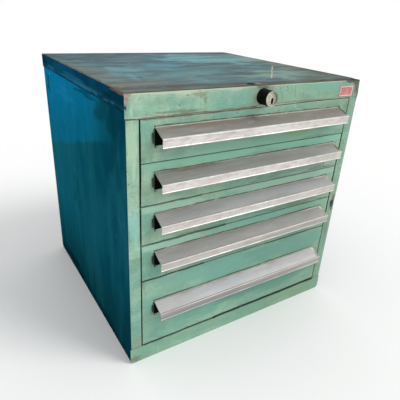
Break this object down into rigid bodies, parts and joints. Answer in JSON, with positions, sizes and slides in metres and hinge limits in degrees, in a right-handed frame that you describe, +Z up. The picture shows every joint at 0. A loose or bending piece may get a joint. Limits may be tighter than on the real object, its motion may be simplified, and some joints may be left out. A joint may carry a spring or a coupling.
{
  "type": "tool cabinet",
  "caption": "Free-standing steel tool cabinet: full-width drawers on roller slides, low ones over a deep one, sloping aluminium pulls, and a key lock in the header that bars all the drawers.",
  "frame": {"origin": "on the floor, under the middle of the outline with its pulls", "axes": "+Z up, the drawers open towards -Y, +X on the right of someone who faces them"},
  "size_m": [0.692, 0.692, 0.7],
  "materials": {
    "case_paint": "worn blue-green enamel",
    "front_paint": "worn pale green enamel",
    "inner_paint": "dull green enamel",
    "slide_steel": "zinc plated",
    "pull_aluminium": "brushed, worn",
    "label_plastic": "scuffed grey strip",
    "lock_housing": "black",
    "lock_face": "worn nickel",
    "plate": "blank red plate with a pale rim"
  },
  "bodies": {
    "carcase": {"side_panel_left": "case_paint", "upright_front_left": "inner_paint", "upright_rear_left": "inner_paint", "side_panel_right": "case_paint", "upright_front_right": "inner_paint", "upright_rear_right": "inner_paint", "top_cover": "case_paint", "bottom_pan": "front_paint", "back_panel": "case_paint", "back_screws": "slide_steel", "header_plate": "plate", "lock_barrel": "lock_housing", "lock_nut": "slide_steel", "lock_bracket": "slide_steel", "lock_bar_guides": "slide_steel", "slide_rails_1": "slide_steel", "slide_rails_2": "slide_steel", "slide_rails_3": "slide_steel", "slide_rails_4": "slide_steel", "slide_rails_5": "slide_steel"},
    "drawer_1": {"drawer_tray_1": "inner_paint", "drawer_front_1": "front_paint", "drawer_handle_1": "pull_aluminium", "label_strip_1": "label_plastic", "drawer_runners_1": "slide_steel"},
    "carriage_1": {"carriages_1": "slide_steel", "carriage_rollers_1": "slide_steel"},
    "drawer_2": {"drawer_tray_2": "inner_paint", "drawer_front_2": "front_paint", "drawer_handle_2": "pull_aluminium", "label_strip_2": "label_plastic", "drawer_runners_2": "slide_steel"},
    "carriage_2": {"carriages_2": "slide_steel", "carriage_rollers_2": "slide_steel"},
    "drawer_3": {"drawer_tray_3": "inner_paint", "drawer_front_3": "front_paint", "drawer_handle_3": "pull_aluminium", "label_strip_3": "label_plastic", "drawer_runners_3": "slide_steel"},
    "carriage_3": {"carriages_3": "slide_steel", "carriage_rollers_3": "slide_steel"},
    "drawer_4": {"drawer_tray_4": "inner_paint", "drawer_front_4": "front_paint", "drawer_handle_4": "pull_aluminium", "label_strip_4": "label_plastic", "drawer_runners_4": "slide_steel"},
    "carriage_4": {"carriages_4": "slide_steel", "carriage_rollers_4": "slide_steel"},
    "drawer_5": {"drawer_tray_5": "inner_paint", "drawer_front_5": "front_paint", "drawer_handle_5": "pull_aluminium", "label_strip_5": "label_plastic", "drawer_runners_5": "slide_steel"},
    "carriage_5": {"carriages_5": "slide_steel", "carriage_rollers_5": "slide_steel"},
    "lock_cylinder": {"lock_plug": "lock_face", "lock_shaft": "slide_steel", "lock_cam": "slide_steel"},
    "lock_bar": {"lock_bar": "slide_steel"}
  },
  "joints": [
    {"name": "drawer_1_slide", "type": "slide", "parent": "carcase", "child": "drawer_1", "axis": [0, -1, 0], "range_m": [0, 0.58]},
    {"name": "carriage_1_slide", "type": "slide", "parent": "carcase", "child": "carriage_1", "axis": [0, -1, 0], "range_m": [0, 0.2901]},
    {"name": "drawer_2_slide", "type": "slide", "parent": "carcase", "child": "drawer_2", "axis": [0, -1, 0], "range_m": [0, 0.58]},
    {"name": "carriage_2_slide", "type": "slide", "parent": "carcase", "child": "carriage_2", "axis": [0, -1, 0], "range_m": [0, 0.2901]},
    {"name": "drawer_3_slide", "type": "slide", "parent": "carcase", "child": "drawer_3", "axis": [0, -1, 0], "range_m": [0, 0.58]},
    {"name": "carriage_3_slide", "type": "slide", "parent": "carcase", "child": "carriage_3", "axis": [0, -1, 0], "range_m": [0, 0.2901]},
    {"name": "drawer_4_slide", "type": "slide", "parent": "carcase", "child": "drawer_4", "axis": [0, -1, 0], "range_m": [0, 0.58]},
    {"name": "carriage_4_slide", "type": "slide", "parent": "carcase", "child": "carriage_4", "axis": [0, -1, 0], "range_m": [0, 0.2901]},
    {"name": "drawer_5_slide", "type": "slide", "parent": "carcase", "child": "drawer_5", "axis": [0, -1, 0], "range_m": [0, 0.58]},
    {"name": "carriage_5_slide", "type": "slide", "parent": "carcase", "child": "carriage_5", "axis": [0, -1, 0], "range_m": [0, 0.2901]},
    {"name": "lock_turn", "type": "hinge", "parent": "carcase", "child": "lock_cylinder", "pos_m": [0, -0.308, 0.6745], "axis": [0, 1, 0], "range_deg": [0, 90]},
    {"name": "lock_bar_drop", "type": "slide", "parent": "carcase", "child": "lock_bar", "axis": [0, 0, -1], "range_m": [0, 0.01272]}
  ],
  "couplings": [
    {"joint": "carriage_1_slide", "follows": "drawer_1_slide", "ratio": 0.5},
    {"joint": "carriage_2_slide", "follows": "drawer_2_slide", "ratio": 0.5},
    {"joint": "carriage_3_slide", "follows": "drawer_3_slide", "ratio": 0.5},
    {"joint": "carriage_4_slide", "follows": "drawer_4_slide", "ratio": 0.5},
    {"joint": "carriage_5_slide", "follows": "drawer_5_slide", "ratio": 0.5},
    {"joint": "lock_turn", "follows": "lock_bar_drop", "rad_per_m": 123.46}
  ]
}
